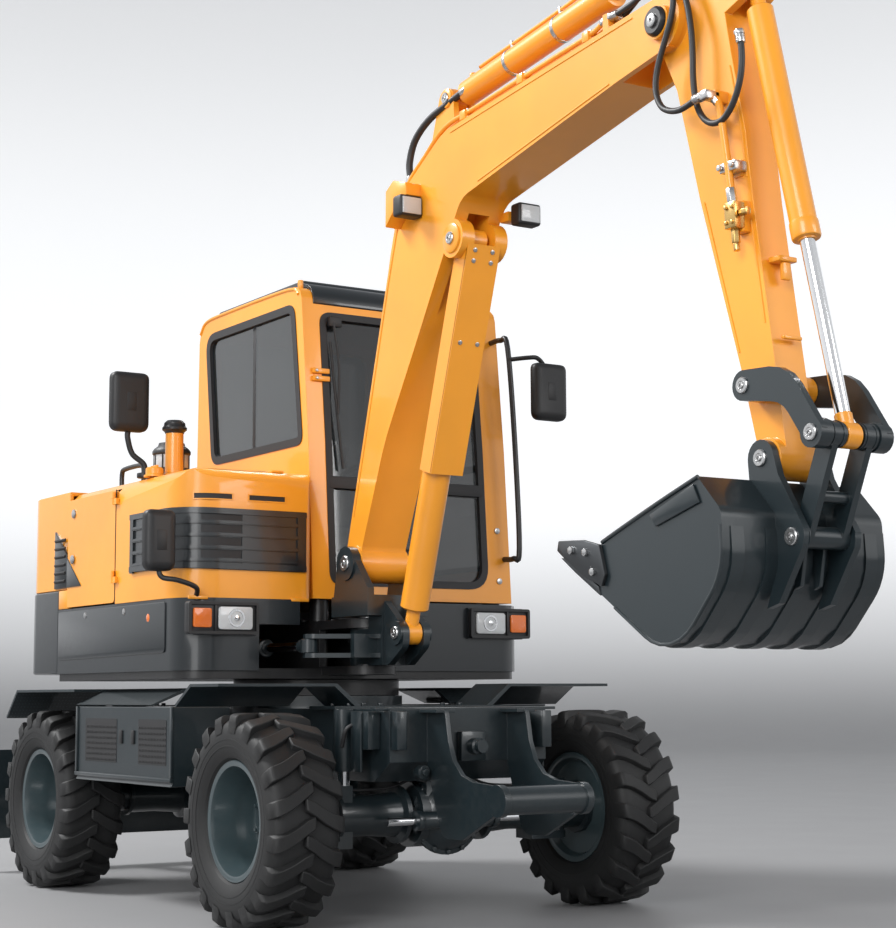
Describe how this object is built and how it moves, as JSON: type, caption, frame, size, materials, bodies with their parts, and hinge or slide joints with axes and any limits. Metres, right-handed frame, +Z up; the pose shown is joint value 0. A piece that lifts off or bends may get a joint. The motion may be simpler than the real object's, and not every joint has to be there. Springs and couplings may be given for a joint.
{
  "type": "wheeled excavator",
  "caption": "Compact wheeled excavator with a swinging one-piece boom, arm and bucket, a slewing upper body with cab, four tyred wheels and a rear dozer blade",
  "frame": {"origin": "middle of the bounding box in plan, on the ground under the tyres", "axes": "+X is the operator's left, -Y is forward toward the bucket, +Z is up; the upper body slews about a vertical axis through the slew ring"},
  "size_m": [2.13, 5.643, 3.5887],
  "materials": {
    "machine_yellow": "semi-gloss enamel",
    "charcoal_paint": "semi-gloss enamel",
    "chassis_grey": "satin enamel",
    "rim_grey": "satin enamel",
    "tyre_rubber": "matt black",
    "hose_rubber": "matt black",
    "chrome_rod": "polished",
    "tinted_glass": "tinted clear",
    "black_plastic": "fine grain",
    "seat_fabric": "woven",
    "cast_block": "as cast"
  },
  "bodies": {
    "chassis": {"chassis_frame": "chassis_grey", "front_axle": "chassis_grey", "rear_axle": "chassis_grey", "front_fenders": "chassis_grey", "rear_fenders": "chassis_grey", "toolbox_right": "chassis_grey", "step_box_left": "chassis_grey", "slew_ring": "chassis_grey"},
    "knuckle_left": {"steering_knuckle_left": "chassis_grey"},
    "knuckle_right": {"steering_knuckle_right": "chassis_grey"},
    "wheel_front_left": {"tyre_front_left": "tyre_rubber", "rim_front_left": "rim_grey"},
    "wheel_front_right": {"tyre_front_right": "tyre_rubber", "rim_front_right": "rim_grey"},
    "wheel_rear_left": {"tyre_rear_left": "tyre_rubber", "rim_rear_left": "rim_grey"},
    "wheel_rear_right": {"tyre_rear_right": "tyre_rubber", "rim_rear_right": "rim_grey"},
    "blade": {"dozer_blade": "chassis_grey"},
    "blade_barrel": {"blade_cylinder_barrel": "chassis_grey"},
    "blade_rod": {"blade_cylinder_rod": "chrome_rod"},
    "upper": {"upper_frame": "charcoal_paint", "skirt_right": "charcoal_paint", "skirt_left": "charcoal_paint", "counterweight": "charcoal_paint", "engine_block": "cast_block", "right_hood": "machine_yellow", "exhaust_stack": "black_plastic", "cab_frame": "machine_yellow", "cab_roof": "charcoal_paint", "windshield_upper": "tinted_glass", "windshield_lower": "tinted_glass", "glass_right": "tinted_glass", "glass_rear": "tinted_glass", "glass_left_rear": "tinted_glass", "control_console": "black_plastic", "operator_seat": "seat_fabric", "mirror_right": "black_plastic", "mirror_front": "black_plastic", "mirror_left": "black_plastic"},
    "hood": {"engine_hood": "machine_yellow"},
    "side_door": {"engine_side_door": "machine_yellow"},
    "door": {"cab_door": "machine_yellow", "door_glass": "tinted_glass"},
    "post": {"swing_post": "chassis_grey"},
    "swing_barrel": {"swing_cylinder_barrel": "chassis_grey"},
    "swing_rod": {"swing_cylinder_rod": "chrome_rod"},
    "boom_arm": {"boom": "machine_yellow", "arm_hose_outer": "hose_rubber", "arm_hose_inner": "hose_rubber"},
    "boom_barrel": {"boom_cylinder_barrel": "machine_yellow"},
    "boom_rod": {"boom_cylinder_rod": "chrome_rod"},
    "dipper": {"arm": "machine_yellow"},
    "arm_barrel": {"arm_cylinder_barrel": "machine_yellow"},
    "arm_rod": {"arm_cylinder_rod": "chrome_rod"},
    "bucket_barrel": {"bucket_cylinder_barrel": "machine_yellow"},
    "bucket_rod": {"bucket_cylinder_rod": "chrome_rod"},
    "tool_link": {"bucket_link": "chassis_grey"},
    "guide_links": {"side_links": "chassis_grey"},
    "tool": {"bucket": "chassis_grey"}
  },
  "joints": [
    {"name": "slew", "type": "hinge", "parent": "chassis", "child": "upper", "pos_m": [0.01, 0.82275, 0.905], "axis": [0, 0, 1], "continuous": true},
    {"name": "boom_swing", "type": "hinge", "parent": "upper", "child": "post", "pos_m": [-0.09, 0.16275, 1.1], "axis": [0, 0, -1], "range_deg": [-80, 50]},
    {"name": "boom_lift", "type": "hinge", "parent": "post", "child": "boom_arm", "pos_m": [-0.09, 0.10275, 1.47], "axis": [-1, 0, 0], "range_deg": [-60, 18]},
    {"name": "arm_crowd", "type": "hinge", "parent": "boom_arm", "child": "dipper", "pos_m": [-0.09, -2.03725, 3.235], "axis": [1, 0, 0], "range_deg": [-60, 36], "deforming": ["arm_hose_outer", "arm_hose_inner"]},
    {"name": "bucket_curl", "type": "hinge", "parent": "dipper", "child": "tool", "pos_m": [-0.09, -2.50725, 1.65], "axis": [1, 0, 0], "range_deg": [-120, 8]},
    {"name": "guide_link_turn", "type": "hinge", "parent": "dipper", "child": "guide_links", "pos_m": [-0.09, -2.46725, 1.887], "axis": [1, 0, 0], "range_deg": [-101, 8]},
    {"name": "tool_link_turn", "type": "hinge", "parent": "tool", "child": "tool_link", "pos_m": [-0.09, -2.64225, 1.39], "axis": [1, 0, 0], "range_deg": [-8, 84]},
    {"name": "boom_cylinder_turn", "type": "hinge", "parent": "post", "child": "boom_barrel", "pos_m": [-0.09, -0.17725, 1.165], "axis": [1, 0, 0], "range_deg": [-19, 61]},
    {"name": "boom_cylinder_stroke", "type": "slide", "parent": "boom_barrel", "child": "boom_rod", "axis": [0, -0.3059, 0.9521], "range_m": [-0.395, 0.122]},
    {"name": "arm_cylinder_turn", "type": "hinge", "parent": "boom_arm", "child": "arm_barrel", "pos_m": [-0.09, -0.56725, 3.372], "axis": [1, 0, 0], "range_deg": [-1.5, 1.8]},
    {"name": "arm_cylinder_stroke", "type": "slide", "parent": "arm_barrel", "child": "arm_rod", "axis": [0, -0.9932, 0.1161], "range_m": [-0.28982, 0.17589]},
    {"name": "bucket_cylinder_turn", "type": "hinge", "parent": "dipper", "child": "bucket_barrel", "pos_m": [-0.09, -2.40225, 3.275], "axis": [1, 0, 0], "range_deg": [-2.3, 1.1]},
    {"name": "bucket_cylinder_stroke", "type": "slide", "parent": "bucket_barrel", "child": "bucket_rod", "axis": [0, -0.2287, -0.9735], "range_m": [-0.5324, 0.04016]},
    {"name": "swing_cylinder_turn", "type": "hinge", "parent": "upper", "child": "swing_barrel", "pos_m": [-0.41, 1.27275, 1.115], "axis": [0, 0, 1], "range_deg": [-5.2, 7.7]},
    {"name": "swing_cylinder_stroke", "type": "slide", "parent": "swing_barrel", "child": "swing_rod", "axis": [0, -1, 0], "range_m": [-0.239, 0.379]},
    {"name": "blade_lift", "type": "hinge", "parent": "chassis", "child": "blade", "pos_m": [0.01, 2.32275, 0.52], "axis": [1, 0, 0], "range_deg": [-14, 18]},
    {"name": "blade_cylinder_turn", "type": "hinge", "parent": "chassis", "child": "blade_barrel", "pos_m": [0.01, 2.33275, 0.79], "axis": [1, 0, 0], "range_deg": [-9.7, 12.2]},
    {"name": "blade_cylinder_stroke", "type": "slide", "parent": "blade_barrel", "child": "blade_rod", "axis": [0, 0.7282, -0.6854], "range_m": [-0.07005, 0.0556]},
    {"name": "steer_right", "type": "hinge", "parent": "chassis", "child": "knuckle_right", "pos_m": [-0.58, -0.22725, 0.42], "axis": [0, 0, 1], "range_deg": [-30, 30]},
    {"name": "steer_left", "type": "hinge", "parent": "chassis", "child": "knuckle_left", "pos_m": [0.6, -0.22725, 0.42], "axis": [0, 0, 1], "range_deg": [-31, 31]},
    {"name": "wheel_front_left_roll", "type": "hinge", "parent": "knuckle_left", "child": "wheel_front_left", "pos_m": [0.83, -0.22725, 0.42], "axis": [1, 0, 0], "continuous": true},
    {"name": "wheel_front_right_roll", "type": "hinge", "parent": "knuckle_right", "child": "wheel_front_right", "pos_m": [-0.81, -0.22725, 0.42], "axis": [1, 0, 0], "continuous": true},
    {"name": "wheel_rear_left_roll", "type": "hinge", "parent": "chassis", "child": "wheel_rear_left", "pos_m": [0.83, 1.87275, 0.42], "axis": [1, 0, 0], "continuous": true},
    {"name": "wheel_rear_right_roll", "type": "hinge", "parent": "chassis", "child": "wheel_rear_right", "pos_m": [-0.81, 1.87275, 0.42], "axis": [1, 0, 0], "continuous": true},
    {"name": "cab_door_hinge", "type": "hinge", "parent": "upper", "child": "door", "pos_m": [0.852, 1.25875, 2.04], "axis": [0, 0, 1], "range_deg": [0, 150]},
    {"name": "engine_hood_hinge", "type": "hinge", "parent": "upper", "child": "hood", "pos_m": [0.01, 1.70275, 1.9], "axis": [1, 0, 0], "range_deg": [0, 60]},
    {"name": "side_door_hinge", "type": "hinge", "parent": "upper", "child": "side_door", "pos_m": [-0.893, 1.11275, 1.58], "axis": [0, 0, 1], "range_deg": [0, 110]}
  ],
  "couplings": [
    {"joint": "guide_link_turn", "follows": "bucket_curl", "ratio": 0.82},
    {"joint": "tool_link_turn", "follows": "bucket_curl", "ratio": -0.685},
    {"joint": "boom_cylinder_turn", "follows": "boom_lift", "ratio": -1},
    {"joint": "boom_cylinder_stroke", "follows": "boom_lift", "m_per_rad": 0.37242},
    {"joint": "arm_cylinder_turn", "follows": "arm_crowd", "ratio": -0.0133},
    {"joint": "arm_cylinder_stroke", "follows": "arm_crowd", "m_per_rad": 0.27198},
    {"joint": "bucket_cylinder_turn", "follows": "bucket_curl", "ratio": 0.011},
    {"joint": "bucket_cylinder_stroke", "follows": "bucket_curl", "m_per_rad": 0.25182},
    {"joint": "swing_cylinder_turn", "follows": "boom_swing", "ratio": -0.0826},
    {"joint": "swing_cylinder_stroke", "follows": "boom_swing", "m_per_rad": -0.267},
    {"joint": "blade_cylinder_turn", "follows": "blade_lift", "ratio": 0.6216},
    {"joint": "blade_cylinder_stroke", "follows": "blade_lift", "m_per_rad": -0.20707},
    {"joint": "steer_left", "follows": "steer_right", "ratio": 1}
  ]
}
